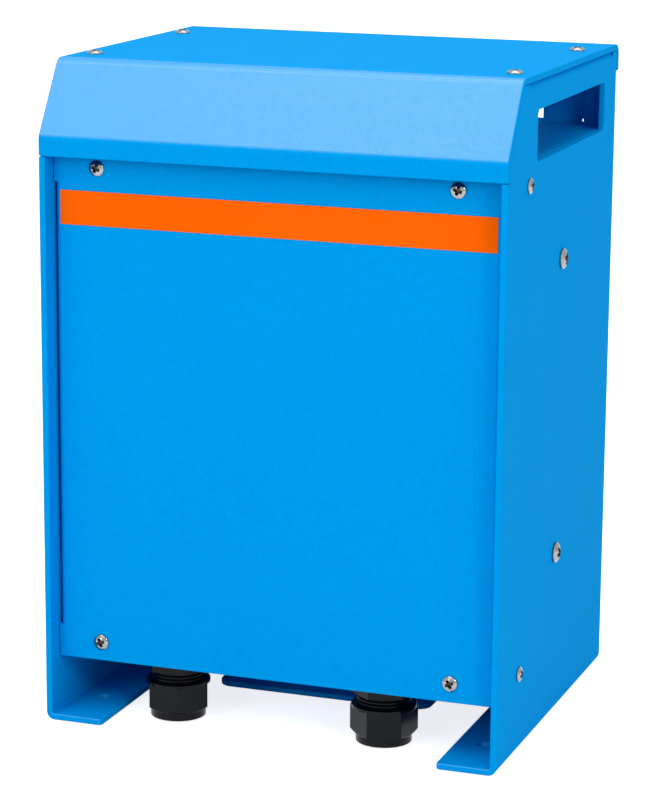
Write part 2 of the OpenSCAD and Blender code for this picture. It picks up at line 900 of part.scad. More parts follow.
module terminal_block(x) {
    z0 = base_z + block_rise;
    front = support_y - block_d;
    color(black) difference() {
        block([x - block_w / 2, front, z0], [x + block_w / 2, support_y, z0 + block_h]);
        for (i = [0 : block_poles - 1]) {
            px = x + (i - (block_poles - 1) / 2) * block_pole_pitch;
            translate([px, support_y - block_d / 2, z0 - eps])
                cylinder(r = entry_r, h = entry_depth + eps, $fn = 24);
            on_front(px, z0 + block_h / 2, front + well_depth)
                cylinder(r = well_r, h = well_depth + eps, $fn = 24);
        }
        at_block_screws(support_y + eps)
            cylinder(r = m3_hole_r, h = block_d + 2 * eps, $fn = 24);
    }
}

module input_terminal_block() {
    terminal_block(-gland_left_x);
}

module output_terminal_block() {
    terminal_block(gland_right_x);
}

module terminal_screws() {
    z = base_z + block_rise + block_h / 2;
    seat = support_y - block_d + well_depth;
    color(steel) for (x = [-gland_left_x, gland_right_x])
        for (i = [0 : block_poles - 1])
            on_front(x + (i - (block_poles - 1) / 2) * block_pole_pitch, z, seat)
                difference() {
                    cylinder(r = clamp_r, h = clamp_h, $fn = 24);
                    block([-clamp_r - eps, -clamp_slot_w / 2, clamp_h / 2],
                        [clamp_r + eps, clamp_slot_w / 2, clamp_h + eps]);
                }
}

module terminal_mount_screws() {
    color(steel) at_block_screws(support_y - block_d) m3_screw(block_d + support_t);
}

module earth_stud() {
    color(steel) on_front(0, earth_z, support_y) cylinder(r = m6_r, h = earth_len, $fn = 24);
}

module earth_nuts() {
    color(steel) for (y = [support_y, support_y - earth_nut_h - lug_t])
        on_front(0, earth_z, y) difference() {
            hex_prism(earth_nut_af, earth_nut_h);
            translate([0, 0, -eps])
                cylinder(r = m6_r + thread_gap, h = earth_nut_h + 2 * eps, $fn = 24);
        }
}

lug_y = support_y - earth_nut_h - lug_t / 2;

module earth_lug() {
    color(steel) difference() {
        union() {
            on_front(0, earth_z, lug_y + lug_t / 2) cylinder(r = lug_r, h = lug_t, $fn = 32);
            run([-lug_barrel_end, lug_y, earth_z], [-lug_barrel_in, lug_y, earth_z], lug_barrel_r);
        }
        on_front(0, earth_z, lug_y + lug_t / 2 + eps)
            cylinder(r = m6_r + thread_gap, h = lug_t + 2 * eps, $fn = 24);
        for (y = [support_y, support_y - earth_nut_h - lug_t])
            on_front(0, earth_z, y) cylinder(r = earth_nut_af / sqrt(3) + thread_gap, h = earth_nut_h);
    }
}

module earth_lead() {
    color(earth_green)
        run([-gland_left_x + block_w / 2, lug_y, earth_z], [-lug_barrel_end, lug_y, earth_z], lead_r);
}

module soft_start_board() {
    color(green) difference() {
        block([-board_w / 2, board_front, board_z0], [board_w / 2, board_y, board_z0 + board_h]);
        at_board_screws(board_y + eps) cylinder(r = m3_hole_r, h = board_t + 2 * eps, $fn = 24);
    }
}

module board_standoffs() {
    color(steel) at_board_screws(support_y) difference() {
        hex_prism(standoff_af, standoff_h);
        translate([0, 0, -eps])
            cylinder(r = m3_r + thread_gap, h = standoff_h + 2 * eps, $fn = 24);
    }
}

module board_screws() {
    color(steel) at_board_screws(board_front) m3_screw(standoff_h + board_t + support_t);
}

// box on the board, centred on shares of the board's width and height
module on_board(x, z, w, h, d) {
    cz = board_z0 + board_h / 2 + z;
    block([x - w / 2, board_front - d, cz - h / 2], [x + w / 2, board_front, cz + h / 2]);
}

module board_relays() {
    color(black) for (s = [-1, 1])
        on_board(-board_w * relay_x_share, s * board_h * relay_z_share, relay_w, relay_h, relay_d);
}

module board_resistor() {
    z = board_z0 + board_h / 2 - board_h * resistor_z_share;
    y = board_front - resistor_r - resistor_gap;
    x = board_w * cap_x_share + cap_pitch / 2;
    color(grey) {
        run([x - resistor_len / 2, y, z], [x + resistor_len / 2, y, z], resistor_r);
        for (s = [-1, 1])
            block([x + s * resistor_len / 3 - resistor_foot_w / 2, y, z - resistor_foot_w / 2],
                [x + s * resistor_len / 3 + resistor_foot_w / 2, board_front, z + resistor_foot_w / 2]);
    }
}

module board_capacitors() {
    z = board_z0 + board_h / 2 + board_h * cap_z_share;
    color(blue_wire) for (i = [0, 1])
        on_front(board_w * cap_x_share + i * cap_pitch, z, board_front)
            cylinder(r = cap_r, h = cap_h, $fn = 32);
}

module board_connector() {
    color(black) on_board(-plug_x, plug_h / 2 - board_h / 2, plug_w, plug_h, plug_d);
}

module control_leads() {
    top = board_z0;
    low = base_z + block_rise + block_h;
    color(copper) for (s = [-1, 1])
        run([-plug_x + s * wire_pitch / 2, board_front - plug_d / 2, low],
            [-plug_x + s * wire_pitch / 2, board_front - plug_d / 2, top], wire_r);
}

module at_gland(x) {
    translate([x, gland_y, 0]) children();
}

module gland_gaskets() {
    color(rubber) for (x = [-gland_left_x, gland_right_x]) at_gland(x)
        translate([0, 0, base_z]) ring_nut(gasket_r, plate_thread_r + thread_gap, gasket_t);
}

// threaded body: ridges below the hexagon, plain thread through the plate
module gland_body(turn) {
    low = hex_z0 - lower_thread_h;
    turns = floor(lower_thread_h / gland_pitch);
    ridges = [for (i = [0 : turns - 1]) each [
        [lower_root_r, hex_z0 - i * gland_pitch],
        [lower_thread_r, hex_z0 - (i + crest_share) * gland_pitch],
        [lower_thread_r, hex_z0 - (i + 1 - crest_share) * gland_pitch]]];
    color(black) difference() {
        union() {
            rotate_extrude() polygon(concat([[gland_bore_r, hex_z0 + body_hex_h / 2],
                [lower_root_r, hex_z0 + body_hex_h / 2]], ridges,
                [[lower_root_r, hex_z0 - turns * gland_pitch],
                [lower_root_r, low], [gland_bore_r, low]]));
            intersection() {
                translate([0, 0, hex_z0]) rotate([0, 0, turn]) hex_prism(gland_af, body_hex_h);
                translate([0, 0, hex_z0])
                    cylinder(r1 = gland_af / sqrt(3) - thread_gap,
                        r2 = gland_af / sqrt(3) + body_hex_h, h = body_hex_h + thread_gap);
            }
            translate([0, 0, hex_z1 - eps])
                cylinder(r = plate_thread_r, h = gasket_t + plate_thread_h + eps);
        }
        translate([0, 0, low - eps])
            cylinder(r = gland_bore_r, h = base_z + plate_thread_h + 2 * eps);
    }
}

module left_gland_body() {
    at_gland(-gland_left_x) gland_body(left_body_turn);
}

module right_gland_body() {
    at_gland(gland_right_x) gland_body(right_body_turn);
}

module gland_locknuts() {
    color(black) for (x = [-gland_left_x, gland_right_x]) at_gland(x)
        translate([0, 0, base_z + panel_t]) difference() {
            hex_prism(locknut_af, locknut_h);
            translate([0, 0, -eps])
                cylinder(r = plate_thread_r + thread_gap, h = locknut_h + 2 * eps);
        }
}

// rubber sleeve that the nut presses round the cable
module gland_seal() {
    low = nut_lift + nut_floor + seal_gap;
    color(rubber) difference() {
        translate([0, 0, low]) cylinder(r = seal_r, h = seal_h);
        translate([0, 0, low - eps]) cylinder(r = cable_r, h = seal_h + 2 * eps);
    }
}

module left_gland_seal() {
    at_gland(-gland_left_x) gland_seal();
}

module right_gland_seal() {
    at_gland(gland_right_x) gland_seal();
}

// clamping nut: collar, hexagon, cone and dome ring, threaded inside
module gland_nut(turn) {
    corner_r = nut_af / sqrt(3);
    hex_low = nut_lift + nut_h * hex_share;
    cone_low = nut_lift + nut_h * cone_share;
    bore = lower_thread_r + nut_play;
    seat_r = seal_r + seal_gap;
    shoulder = hex_z0 - lower_thread_h - nut_travel - eps;
    color(black) difference() {
        union() {
            translate([0, 0, nut_z1 - collar_h]) cylinder(r = collar_r, h = collar_h);
            intersection() {
                translate([0, 0, nut_lift]) rotate([0, 0, turn])
                    hex_prism(nut_af, nut_h - collar_h / 2);
                union() {
                    translate([0, 0, hex_low]) cylinder(r = corner_r + eps, h = nut_h);
                    translate([0, 0, cone_low])
                        cylinder(r1 = dome_r, r2 = corner_r, h = hex_low - cone_low);
                }
            }
            translate([0, 0, nut_lift]) cylinder(r = dome_r, h = hex_low - nut_lift);
        }
        translate([0, 0, shoulder]) cylinder(r = bore, h = nut_h);
        translate([0, 0, nut_lift + nut_floor]) cylinder(r = seat_r, h = nut_h);
        translate([0, 0, nut_lift - eps]) cylinder(r = nut_mouth_r, h = nut_h);
    }
}

module left_gland_nut() {
    at_gland(-gland_left_x) gland_nut(left_nut_turn);
}

module right_gland_nut() {
    at_gland(gland_right_x) gland_nut(right_nut_turn);
}

module front_cover() {
    side_x = side_in - fold_gap;
    ear_x = side_in - skin_gap;
    fold_r = panel_t + bend_r;
    path = [[-side_x, cover_y + cover_fold], [-side_x, cover_y], [side_x, cover_y],
        [side_x, cover_y + cover_fold]];
    color(blue) difference() {
        union() {
            translate([0, 0, cover_z0 + ear_h])
                linear_extrude(height = cover_z1 - cover_z0 - ear_h - deck_ear_h)
                    polygon(concat([path[0]], bends(path, fold_r), [path[3]],
                        [[side_x - panel_t, cover_y + cover_fold]],
                        bend([side_x - panel_t, cover_y + cover_fold],
                            [side_x - panel_t, cover_back], [0, cover_back], bend_r),
                        bend([0, cover_back], [panel_t - side_x, cover_back],
                            [panel_t - side_x, cover_y + cover_fold], bend_r),
                        [[panel_t - side_x, cover_y + cover_fold]]));
            block([-ear_x, cover_y, cover_z0], [ear_x, cover_back, cover_z0 + ear_h]);
            block([-ear_x, cover_y, cover_z1 - deck_ear_h], [ear_x, cover_back, cover_z1]);
        }
        at_cover_screws(cover_back + eps) cylinder(r = m4_hole_r, h = panel_t + 2 * eps, $fn = 24);
    }
}

module front_stripe() {
    stripe_x = side_in - fold_gap - panel_t - bend_r;
    color(orange) block([-stripe_x, cover_y - stripe_t, stripe_z1 - stripe_h],
        [stripe_x, cover_y, stripe_z1]);
}

module front_cover_screws() {
    color(steel) at_cover_screws(cover_y) m4_screw();
}

left_side_panel();
right_side_panel();
hood();
hood_screws();
deck();
rear_panel();
rear_panel_screws();
bottom_plate();
side_panel_screws();
support_plate_screws();
clinch_nuts_m4();
clinch_nuts_m6();
transformer_support_plate();
toroid_core();
toroid_winding();
front_rubber_pad();
rear_rubber_pad();
clamping_dish();
transformer_bolt();
transformer_nut();
lead_grommets();
input_leads();
output_leads();
input_terminal_block();
output_terminal_block();
terminal_screws();
terminal_mount_screws();
earth_stud();
earth_nuts();
earth_lug();
earth_lead();
soft_start_board();
board_standoffs();
board_screws();
board_relays();
board_resistor();
board_capacitors();
board_connector();
control_leads();
gland_gaskets();
left_gland_body();
right_gland_body();
gland_locknuts();
left_gland_seal();
right_gland_seal();
left_gland_nut();
right_gland_nut();
front_cover();
front_stripe();
front_cover_screws();
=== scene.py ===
import json
import math

import bmesh
import bpy
from mathutils import Matrix, Vector
from mathutils.bvhtree import BVHTree


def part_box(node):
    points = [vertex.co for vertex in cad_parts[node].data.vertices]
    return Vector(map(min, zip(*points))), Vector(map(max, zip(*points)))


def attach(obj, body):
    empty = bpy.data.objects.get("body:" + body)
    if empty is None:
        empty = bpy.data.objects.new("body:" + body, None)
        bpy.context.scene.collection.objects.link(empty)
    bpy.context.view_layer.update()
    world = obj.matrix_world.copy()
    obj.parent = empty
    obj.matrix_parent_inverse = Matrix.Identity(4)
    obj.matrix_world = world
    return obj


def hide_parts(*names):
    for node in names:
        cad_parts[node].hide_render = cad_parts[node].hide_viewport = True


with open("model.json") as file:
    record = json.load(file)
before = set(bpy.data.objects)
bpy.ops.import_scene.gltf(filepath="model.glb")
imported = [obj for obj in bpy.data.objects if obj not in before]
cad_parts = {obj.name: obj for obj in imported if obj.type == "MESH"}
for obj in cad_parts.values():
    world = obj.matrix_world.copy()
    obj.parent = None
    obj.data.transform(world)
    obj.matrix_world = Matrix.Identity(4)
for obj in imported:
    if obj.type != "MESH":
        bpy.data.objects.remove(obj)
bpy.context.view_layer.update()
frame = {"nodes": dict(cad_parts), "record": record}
nodes = frame["nodes"]
record = frame["record"]
body_of = {n: b for b, members in record["behaviour"]["bodies"].items() for n in members}
slot_of = {s["node"]: s["material_slot"] for s in record["subparts"]}
MM = 0.001
# points of a mesh this close are one
SAME_PLACE = 0.001 * MM

# camera: its angles, place and lens, solved from the case's corners
CAMERA_AZIMUTH, CAMERA_ELEVATION, CAMERA_ROLL = 19.70, 12.84, 0.45
CAMERA_PLACE = (0.531, -1.492, 0.529)
CAMERA_LENS, CAMERA_SENSOR = 130.9, 36

# widths of the rounded edges, and how far from the solid's skin a rounded edge's point may lie, as a share
OFF_SKIN = 0.5
WALL_EDGE = 0.6 * MM
HOOD_EDGE = 0.6 * MM
SHEET_EDGE = 0.5 * MM
REAR_EDGE = 0.25 * MM
GLAND_NUT_EDGE = 0.25 * MM
GLAND_THREAD_EDGE = 0.12 * MM
LOCKNUT_EDGE = 0.3 * MM
PART_EDGE = 0.5 * MM
RUBBER_EDGE = 0.4 * MM
SMALL_EDGE = 0.2 * MM

# pan head screws: what their nodes' boxes don't give, and the turns in radians of the first cross and from
# one cross to the next
M3 = {"rim": 0.7 * MM, "head_h": 1.8 * MM, "shank_r": 1.5 * MM, "wing": 0.8 * MM}
M4 = {"rim": 0.9 * MM, "head_h": 2.4 * MM, "shank_r": 2.0 * MM, "wing": 1.2 * MM}
M6 = {"rim": 1.3 * MM, "head_h": 3.4 * MM, "shank_r": 3.0 * MM, "wing": 1.7 * MM}
FIRST_CROSS, NEXT_CROSS = 0.35, 0.83
HEAD_STEPS, HEAD_ROWS, HEAD_EDGE = 48, 9, 0.12 * MM
# the cross recess: its reach as a share of the head's radius, its floor and its cutter's top as shares of
# the head's height, and its lengths and widths at the top and the floor as shares of the reach and the wing
CROSS_REACH, CROSS_FLOOR, CROSS_ABOVE = 0.70, 0.22, 1.15
CROSS_LONG_TOP, CROSS_LONG_LOW, CROSS_WIDE_TOP, CROSS_WIDE_LOW = 1.08, 0.42, 0.88, 0.50
# the faces inside the recess, which are painted dark as shade: within this share of the reach, above this
# share of the floor's height, and at least this far below the head's skin
IN_REACH, IN_FLOOR, IN_SKIN = 1.05, 0.9, 0.03 * MM

# the wound ring: its tape wraps, the step at each wrap and how it varies from one to the next, how many
# wraps the laps lean in a metre, and the rounding of the section
WRAPS, WRAP_PARTS = 64, 6
WRAP_STEP, WRAP_UNEVEN, WRAP_BEAT = 0.55 * MM, 0.25, 2.4
LAP_LEAN = 6.0
RING_ROUND, ROUND_PARTS = 20 * MM, 8
# the wires that show through the tape, and the thickness of the core's strip
WIRES = 190
STRIP_T = 0.55 * MM

# the leads: radius, distance between a pair's two, bend, the most of a stretch that a bend takes, and the
# reach of each stretch
LEAD_R, LEAD_PITCH, LEAD_BEND = 1.8 * MM, 4 * MM, 5 * MM
BEND_SHARE = 0.48
LEAD_START, LEAD_OUT, LEAD_IN, LEAD_TURN = 0.2 * MM, 9 * MM, 24 * MM, 18 * MM

# bands of a striped lead and tracks of the board, in a metre
BANDS, TRACKS = 260.0, 190.0

# solder joints: profile of one, and how far they stand from their parts
SOLDER = [(r * MM, h * MM) for r, h in ((0, 0.55), (0.35, 0.5), (0.7, 0.3), (0.95, 0.1), (1.2, 0), (0, 0))]
SOLDER_STEPS = 12
RELAY_PIN_OUT, RELAY_PIN_SIDE = 4 * MM, 3.5 * MM
CAN_PIN_SIDE, PIN_GAP, PLUG_PIN_PITCH, PLUG_PINS = 3 * MM, 2 * MM, 5.3 * MM, 4

# the hood's slanted face looks forwards and up by at least this much; then the least cosine of the angle
# between it and a face, for each coat and for a foot's edge
ASLANT = 0.3
ON_SLANT, ON_BEND, ON_CREST, ON_FADE, ON_ANY = 0.998, 0.985, 0.9, 0.96, 0.6
ON_FOOT_EDGE = 0.8


def solids(node):
    """The boxes of a node's separate solids, as lowest and highest corners, in order of place."""
    bm = bmesh.new()
    bm.from_mesh(nodes[node].data)
    bmesh.ops.remove_doubles(bm, verts=bm.verts, dist=SAME_PLACE)
    boxes, seen = [], set()
    for first in bm.verts:
        if first in seen:
            continue
        seen.add(first)
        group, edge = [], [first]
        while edge:
            v = edge.pop()
            group.append(v.co.copy())
            near = {e.other_vert(v) for e in v.link_edges} - seen
            seen |= near
            edge.extend(near)
        boxes.append((Vector(map(min, zip(*group))), Vector(map(max, zip(*group)))))
    bm.free()
    return sorted(boxes, key=lambda b: tuple(round(c / MM, 1) for c in (*b[0], *b[1])))


ring_low, ring_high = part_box("toroid_winding")
RING_MIDDLE = (ring_low + ring_high) / 2
RING_R = (ring_high.x - ring_low.x) / 2


def make_camera():
    """A plain camera, without a shift, at the photograph's viewing angle."""
    a, e, r = (math.radians(v) for v in (CAMERA_AZIMUTH, CAMERA_ELEVATION, CAMERA_ROLL))
    back = Vector((math.sin(a) * math.cos(e), -math.cos(a) * math.cos(e), math.sin(e)))
    right = (-back).cross(Vector((0, 0, 1))).normalized()
    up = right.cross(-back)
    axes = Matrix((math.cos(r) * right + math.sin(r) * up, math.cos(r) * up - math.sin(r) * right, back))
    data = bpy.data.cameras.new("camera")
    data.sensor_width = CAMERA_SENSOR
    data.lens = CAMERA_LENS
    camera = bpy.data.objects.new("camera", data)
    bpy.context.scene.collection.objects.link(camera)
    camera.matrix_world = Matrix.Translation(CAMERA_PLACE) @ axes.transposed().to_4x4()
    bpy.context.scene.camera = camera


make_camera()


# Materials
class Graph:
    """A node material around one Principled shader, measured in the frame's metres."""

    def __init__(self, name, color, rough, metallic=0.0, specular=0.5):
        self.mat = bpy.data.materials.new(name)
        self.mat.use_nodes = True
        self.mat.diffuse_color = (*color, 1)
        self.tree = self.mat.node_tree
        self.shader = self.tree.nodes["Principled BSDF"]
        self.set("Base Color", (*color, 1))
        self.set("Roughness", rough)
        self.set("Metallic", metallic)
        self.set("Specular IOR Level", specular)
        self.place = self.node("ShaderNodeTexCoord").outputs["Object"]

    def node(self, kind, **props):
        n = self.tree.nodes.new(kind)
        for k, v in props.items():
            setattr(n, k, v)
        return n

    def link(self, a, b):
        self.tree.links.new(a, b)

    def set(self, name, value):
        self.shader.inputs[name].default_value = value

    def noise(self, scale, detail=3.0, rough=0.6):
        n = self.node("ShaderNodeTexNoise")
        n.inputs["Scale"].default_value = scale
        n.inputs["Detail"].default_value = detail
        n.inputs["Roughness"].default_value = rough
        self.link(self.place, n.inputs["Vector"])
        return n.outputs["Fac"]

    def cells(self, scale):
        n = self.node("ShaderNodeTexVoronoi")
        n.inputs["Scale"].default_value = scale
        self.link(self.place, n.inputs["Vector"])
        return n.outputs["Distance"]

    def math(self, op, a, b=0.0):
        n = self.node("ShaderNodeMath", operation=op)
        for i, v in enumerate((a, b)):
            if isinstance(v, (int, float)):
                n.inputs[i].default_value = v
            else:
                self.link(v, n.inputs[i])
        return n.outputs[0]

    def blend(self, *parts):
        """The sum of several outputs, each with its weight."""
        total = 0.0
        for out, weight in parts:
            total = self.math("ADD", self.math("MULTIPLY", out, weight), total)
        return total

    def ramp(self, fac, *stops):
        n = self.node("ShaderNodeValToRGB")
        ends = n.color_ramp.elements
        while len(ends) < len(stops):
            ends.new(0.5)
        for e, (at, color) in zip(ends, stops):
            e.position = at
            e.color = (*color, 1)
        self.link(fac, n.inputs["Fac"])
        return n.outputs["Color"]

    def spread(self, fac, low, high, from_low=0.3, from_high=0.7):
        n = self.node("ShaderNodeMapRange")
        for k, v in (("From Min", from_low), ("From Max", from_high), ("To Min", low), ("To Max", high)):
            n.inputs[k].default_value = v
        self.link(fac, n.inputs["Value"])
        return n.outputs["Result"]

    def mix(self, fac, a, b):
        n = self.node("ShaderNodeMix", data_type="RGBA")
        for i, v in ((0, fac), (6, a), (7, b)):
            if isinstance(v, (int, float)):
                n.inputs[i].default_value = v
            elif isinstance(v, tuple):
                n.inputs[i].default_value = (*v, 1)
            else:
                self.link(v, n.inputs[i])
        return n.outputs[2]

    def tones(self, fac, color, dark, pale):
        """The colour, darker where fac is low and paler where it is high."""
        return self.ramp(fac, (0.3, shade(color, dark)), (0.5, color), (0.7, shade(color, pale)))

    def color(self, out):
        self.link(out, self.shader.inputs["Base Color"])

    def rough(self, out):
        self.link(out, self.shader.inputs["Roughness"])

    def bump(self, height, strength, distance):
        n = self.node("ShaderNodeBump")
        n.inputs["Strength"].default_value = strength
        n.inputs["Distance"].default_value = distance
        self.link(height, n.inputs["Height"])
        self.link(n.outputs["Normal"], self.shader.inputs["Normal"])

    def split(self):
        n = self.node("ShaderNodeSeparateXYZ")
        self.link(self.place, n.inputs[0])
        return n.outputs


def shade(color, by):
    """A colour made darker or paler."""
    return tuple(min(1.0, c * by) for c in color)


def powder_coat(name="blue_powder_coat", low=0.52, high=0.66, specular=0.004):
    """Blue powder coat with a fine grain and a slight orange peel; low and high are its roughness."""
    base = (0.0, 0.315, 0.78)
    g = Graph(name, base, (low + high) / 2, specular=specular)
    g.shader.distribution = "GGX"
    grain, peel, cloud = g.noise(1500, 2.0), g.noise(420, 2.0, 0.5), g.noise(9)
    g.color(g.tones(g.blend((grain, 0.5), (peel, 0.35), (cloud, 0.15)), base, 0.91, 1.07))
    g.rough(g.spread(peel, low, high))
    g.bump(g.blend((grain, 0.6), (peel, 1.0)), 0.6, 0.08 * MM)
    return g.mat


def orange_film():
    base = (1.0, 0.125, 0.0)
    g = Graph("orange_film", base, 0.45, specular=0.015)
    grain, cloud = g.noise(1500, 2.0), g.noise(12)
    g.color(g.ramp(g.blend((grain, 0.6), (cloud, 0.4)),
                   (0.3, shade(base, 0.93)), (0.5, base), (0.7, (1.0, 0.145, 0.004))))
    g.rough(g.spread(cloud, 0.36, 0.46))
    g.bump(grain, 0.2, 0.04 * MM)
    return g.mat


def plated(name, color, low, high):
    """A metal coating; low and high are its roughness."""
    g = Graph(name, color, (low + high) / 2, metallic=1.0)
    cloud = g.noise(260)
    g.color(g.tones(cloud, color, 0.82, 1.12))
    g.rough(g.spread(cloud, low, high))
    g.bump(g.noise(2600), 0.25, 0.02 * MM)
    return g.mat


def strip_core():
    """Steel strip wound round the ring's axis."""
    color = (0.33, 0.33, 0.35)
    g = Graph("wound_strip", color, 0.4, metallic=1.0)
    out = g.split()
    up = g.math("SUBTRACT", out["Z"], RING_MIDDLE.z)
    r = g.math("SQRT", g.math("ADD", g.math("POWER", out["X"], 2.0), g.math("POWER", up, 2.0)))
    line = g.math("FRACT", g.math("DIVIDE", r, STRIP_T))
    g.color(g.ramp(line, (0.0, shade(color, 0.5)), (0.25, color), (1.0, shade(color, 1.2))))
    g.rough(g.spread(g.noise(300), 0.3, 0.5))
    g.bump(line, 0.4, 0.08 * MM)
    return g.mat


def tape():
    """Amber tape that laps at each wrap, with the copper wires showing through it."""
    amber = (0.55, 0.27, 0.06)
    g = Graph("winding_tape", amber, 0.28)
    out = g.split()
    angle = g.math("ARCTAN2", g.math("SUBTRACT", out["Z"], RING_MIDDLE.z), out["X"])
    turns = g.math("MULTIPLY", angle, WRAPS / (2 * math.pi))
    lap = g.math("FRACT", g.math("ADD", turns, g.math("MULTIPLY", out["Y"], LAP_LEAN)))
    wires = g.math("PINGPONG", g.math("MULTIPLY", angle, WIRES / (2 * math.pi)), 0.5)
    copper = g.ramp(wires, (0.0, (0.16, 0.06, 0.015)), (0.25, (0.52, 0.24, 0.05)),
                    (0.5, (0.74, 0.40, 0.11)))
    film = g.ramp(lap, (0.0, (0.22, 0.10, 0.02)), (0.06, amber), (1.0, (0.68, 0.36, 0.10)))
    g.color(g.mix(0.45, copper, film))
    g.rough(g.spread(g.noise(150), 0.2, 0.38))
    g.bump(g.blend((lap, 1.0), (g.noise(240), 0.5)), 0.5, 0.25 * MM)
    return g.mat


def plastic(name, color, low, high, dark=0.75, pale=1.35, specular=0.12):
    g = Graph(name, color, (low + high) / 2, specular=specular)
    cloud = g.noise(60)
    g.color(g.tones(cloud, color, dark, pale))
    g.rough(g.spread(cloud, low, high))
    g.bump(g.noise(1800), 0.3, 0.04 * MM)
    return g.mat


def soft_rubber():
    color = (0.018, 0.018, 0.02)
    g = Graph("soft_rubber", color, 0.7, specular=0.3)
    g.color(g.tones(g.noise(90), color, 0.7, 1.6))
    g.rough(g.spread(g.noise(200), 0.62, 0.8))
    g.bump(g.cells(900), 0.35, 0.08 * MM)
    return g.mat


def insulation(name, color, stripe=None):
    """A lead's insulation, in bands of two colours where a stripe is given."""
    g = Graph(name, color, 0.35, specular=0.45)
    fine = g.noise(900)
    tone = g.tones(fine, color, 0.85, 1.15)
    if stripe:
        band = g.math("FRACT", g.math("MULTIPLY", g.split()["Z"], BANDS))
        tone = g.mix(g.spread(band, 0.0, 1.0, 0.45, 0.5), tone, stripe)
    g.color(tone)
    g.rough(g.spread(fine, 0.3, 0.42))
    g.bump(fine, 0.25, 0.04 * MM)
    return g.mat


def board_mask():
    """Green mask over copper tracks that run level in some areas and upright in others."""
    mask, copper = (0.012, 0.13, 0.05), (0.03, 0.22, 0.08)
    g = Graph("board_mask", mask, 0.3)
    out = g.split()

    def tracks(axis):
        wave = g.math("PINGPONG", g.math("MULTIPLY", out[axis], TRACKS), 0.5)
        return g.spread(wave, 0.0, 1.0, 0.30, 0.34)

    level, upright = tracks("Z"), tracks("X")
    way = g.spread(g.noise(26, 0.0), 0.0, 1.0, 0.49, 0.51)
    area = g.spread(g.noise(34, 0.0, 0.5), 0.0, 1.0, 0.50, 0.52)
    track = g.math("MULTIPLY", g.mix(way, level, upright), area)
    g.color(g.mix(track, g.tones(g.noise(600), mask, 0.85, 1.15), copper))
    g.rough(g.spread(g.noise(120), 0.24, 0.36))
    g.bump(track, 0.5, 0.05 * MM)
    return g.mat


def ceramic():
    color = (0.62, 0.60, 0.54)
    g = Graph("pale_ceramic", color, 0.6, specular=0.35)
    fine = g.noise(700, 4.0)
    g.color(g.tones(fine, color, 0.82, 1.1))
    g.rough(g.spread(fine, 0.5, 0.7))
    g.bump(g.blend((fine, 1.0), (g.cells(500), 1.0)), 0.4, 0.06 * MM)
    return g.mat


def can_sleeve():
    color = (0.02, 0.055, 0.2)
    g = Graph("can_sleeve", color, 0.25)
    fine = g.noise(500)
    g.color(g.tones(fine, color, 0.8, 1.25))
    g.rough(g.spread(fine, 0.2, 0.34))
    g.bump(fine, 0.2, 0.04 * MM)
    return g.mat


made = {
    "blue_sheet": powder_coat(),
    "orange_stripe": orange_film(),
    "plated_steel": plated("bright_nickel", (0.30, 0.305, 0.305), 0.10, 0.18),
    "zinc_sheet": plated("bright_zinc", (0.40, 0.42, 0.45), 0.30, 0.46),
    "core_steel": strip_core(),
    "winding_tape": tape(),
    "black_nylon": plastic("black_nylon", (0.002, 0.003, 0.005), 0.14, 0.20, specular=0.14),
    "rubber": soft_rubber(),
    "wire_brown": insulation("brown_insulation", (0.12, 0.042, 0.015)),
    "wire_green": insulation("earth_insulation", (0.03, 0.22, 0.03), (0.80, 0.66, 0.02)),
    "board_green": board_mask(),
    "component_black": plastic("black_housing", (0.022, 0.022, 0.024), 0.4, 0.55),
    "component_grey": ceramic(),
    "capacitor_blue": can_sleeve(),
}
blue_wire = insulation("blue_insulation", (0.012, 0.07, 0.35))
block_plastic = plastic("pale_grey_plastic", (0.42, 0.43, 0.43), 0.34, 0.46, dark=0.95, pale=1.04)
# painted shade: a near-black metal for the faces inside the screws' cross recesses, dark where shade falls
# in them
recess_painted_shade = plated("recess_painted_shade", (0.05, 0.045, 0.04), 0.3, 0.45)
# the slanted face of the hood has more sheen than the rest: the most is on the bend above it, and it fades
# over the bend below
crest_coat = powder_coat("blue_powder_coat_crest", 0.30, 0.40, specular=1.0)
slant_coat = powder_coat("blue_powder_coat_slant", 0.34, 0.44, specular=0.82)
bend_coat = powder_coat("blue_powder_coat_bend", 0.34, 0.44, specular=0.45)
fade_coat = powder_coat("blue_powder_coat_fade", 0.34, 0.44, specular=0.15)


def dress(obj, mat):
    """Gives an object one material and no other."""
    if obj.data.materials:
        obj.data.materials.clear()
    obj.data.materials.append(mat)


for name, obj in nodes.items():
    dress(obj, made[slot_of[name]])


# Pieces
def add_piece(name, bm, body, mat, smooth, hides=()):
    """A visible piece on a body, in place of the nodes that it hides. Its edges show where they are sharper
    than smooth, in degrees."""
    mesh = bpy.data.meshes.new(name)
    bm.to_mesh(mesh)
    bm.free()
    mesh.polygons.foreach_set("use_smooth", [True] * len(mesh.polygons))
    mesh.set_sharp_from_angle(angle=math.radians(smooth))
    obj = bpy.data.objects.new(name, mesh)
    bpy.context.scene.collection.objects.link(obj)
    dress(obj, mat)
    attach(obj, body)
    if hides:
        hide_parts(*hides)
    return obj


def stand_in(node, name, bm, smooth, mat=None):
    """A piece in place of one node, on its body. It has the slot's material where no other
    is given."""
    slot = slot_of[node]
    return add_piece(name, bm, body_of[node], mat or made[slot], smooth, [node])


def clean_copy(node, flat_angle=0.6):
    """The node's solids as one mesh with whole flat faces."""
    bm = bmesh.new()
    bm.from_mesh(nodes[node].data)
    bmesh.ops.remove_doubles(bm, verts=bm.verts, dist=SAME_PLACE)
    bmesh.ops.dissolve_limit(bm, angle_limit=math.radians(flat_angle), verts=bm.verts, edges=bm.edges,
                             use_dissolve_boundaries=False)
    flat = bmesh.new()
    at = {v: flat.verts.new(v.co) for v in bm.verts}
    for f in bm.faces:
        flat.faces.new([at[v] for v in f.verts])
    bm.free()
    flat.normal_update()
    return flat


